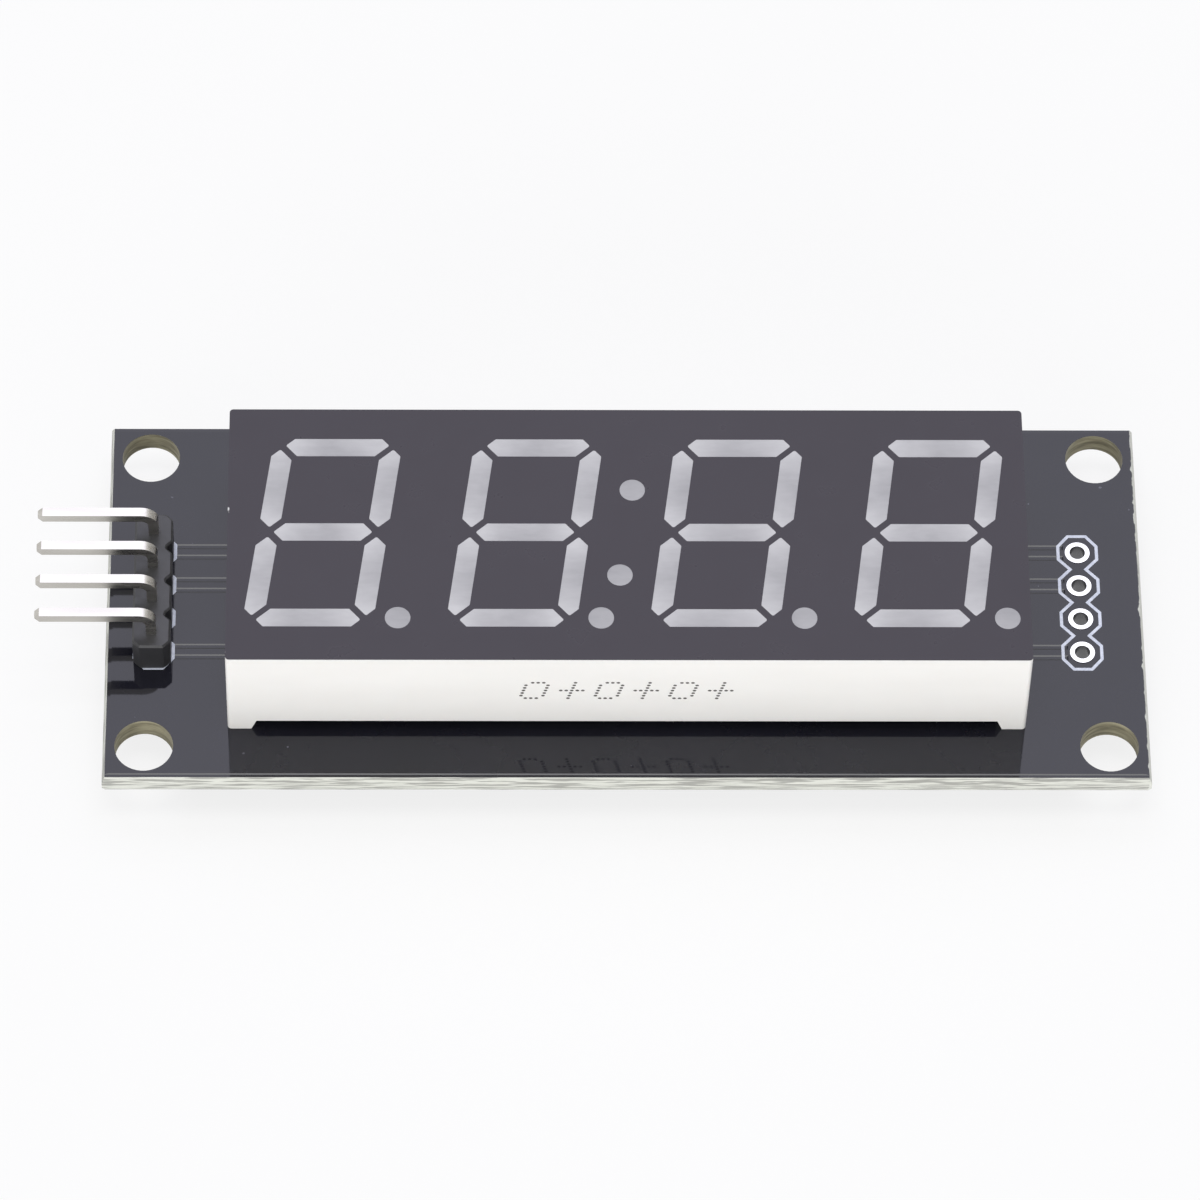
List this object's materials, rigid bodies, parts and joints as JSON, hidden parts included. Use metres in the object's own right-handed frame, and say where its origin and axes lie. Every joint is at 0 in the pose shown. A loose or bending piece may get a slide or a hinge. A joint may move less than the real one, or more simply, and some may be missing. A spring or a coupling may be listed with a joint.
{
  "type": "seven segment display module",
  "caption": "Circuit board with a raised display of slanted seven segment digits, a bent pin header at one end, plated output holes at the other and a mounting hole in each corner.",
  "frame": {"origin": "centre of the four-hole mounting pattern, on the board's underside", "axes": "+X along the row of digits, away from the pin header; +Y towards the digits' tops; +Z out of the display's face"},
  "size_m": [0.0703, 0.027, 0.0119],
  "materials": {
    "board": "black solder mask on glass epoxy, glossy",
    "tinned_copper": "tinned copper",
    "header_plastic": "moulded black plastic, satin",
    "tinned_pin": "tin plated",
    "solder": "bright solder",
    "white_housing": "moulded white plastic, satin",
    "black_face": "black ink, satin",
    "milky_resin": "milky cast resin",
    "led_board": "white masked glass epoxy",
    "led_chip": "bare diode die",
    "chip_package": "moulded black epoxy, fine grain",
    "resistor_body": "black glaze",
    "capacitor_body": "fired ceramic, satin",
    "end_cap": "tin plated"
  },
  "bodies": {
    "root": {"circuit_board": "board", "header_eyelets": "tinned_copper", "output_eyelets": "tinned_copper", "display_eyelets": "tinned_copper", "header_base": "header_plastic", "header_pin_1": "tinned_pin", "header_pin_2": "tinned_pin", "header_pin_3": "tinned_pin", "header_pin_4": "tinned_pin", "header_solder": "solder", "display_solder": "solder", "display_housing": "white_housing", "face_mask": "black_face", "resin_fill": "milky_resin", "led_board": "led_board", "led_chips": "led_chip", "display_pins": "tinned_pin", "driver_chip": "chip_package", "driver_leads": "tinned_pin", "pullup_resistors": "resistor_body", "pullup_resistor_ends": "end_cap", "filter_capacitors": "capacitor_body", "filter_capacitor_ends": "end_cap", "decoupling_capacitor": "capacitor_body", "decoupling_capacitor_ends": "end_cap", "bulk_capacitor": "capacitor_body", "bulk_capacitor_ends": "end_cap", "surface_lands": "tinned_copper", "surface_solder": "solder"}
  },
  "joints": []
}
